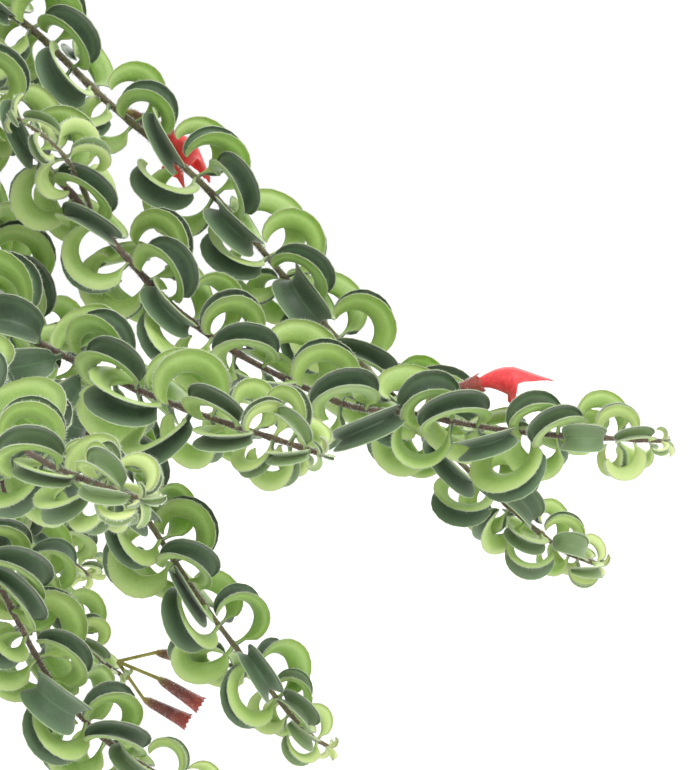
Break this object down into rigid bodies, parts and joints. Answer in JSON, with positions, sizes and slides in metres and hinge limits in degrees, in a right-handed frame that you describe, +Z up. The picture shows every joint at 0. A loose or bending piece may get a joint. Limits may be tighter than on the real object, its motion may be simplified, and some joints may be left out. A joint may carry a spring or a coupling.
{
  "type": "potted lipstick plant",
  "caption": "Trailing plant with curled fleshy leaves and tubular flowers, standing in a tall tapered pot of soil.",
  "frame": {"origin": "centre of the pot's flat base, on the surface that the pot stands on", "axes": "+Z up along the pot's axis; +X towards the side that the longest stems trail to; -Y towards the viewer"},
  "size_m": [0.6428, 0.531, 0.424],
  "materials": {
    "pot": "matte",
    "soil": "matte",
    "leafy_stem": "satin",
    "calyx": "satin",
    "corolla": "matte"
  },
  "bodies": {
    "root": {"pot": "pot", "soil": "soil", "stem_01": "leafy_stem", "stem_02": "leafy_stem", "stem_03": "leafy_stem", "stem_04": "leafy_stem", "stem_05": "leafy_stem", "stem_06": "leafy_stem", "stem_07": "leafy_stem", "stem_08": "leafy_stem", "stem_09": "leafy_stem", "stem_10": "leafy_stem", "stem_11": "leafy_stem", "stem_12": "leafy_stem", "stem_13": "leafy_stem", "stem_14": "leafy_stem", "stem_15": "leafy_stem", "stem_16": "leafy_stem", "stem_17": "leafy_stem", "bloom_1_calyx": "calyx", "bloom_2_calyx": "calyx", "bloom_3_calyx": "calyx", "bloom_4_calyx": "calyx", "calyx_cluster_1": "calyx", "calyx_cluster_2": "calyx", "bloom_1_corolla": "corolla", "bloom_2_corolla": "corolla", "bloom_3_corolla": "corolla", "bloom_4_corolla": "corolla"}
  },
  "joints": []
}
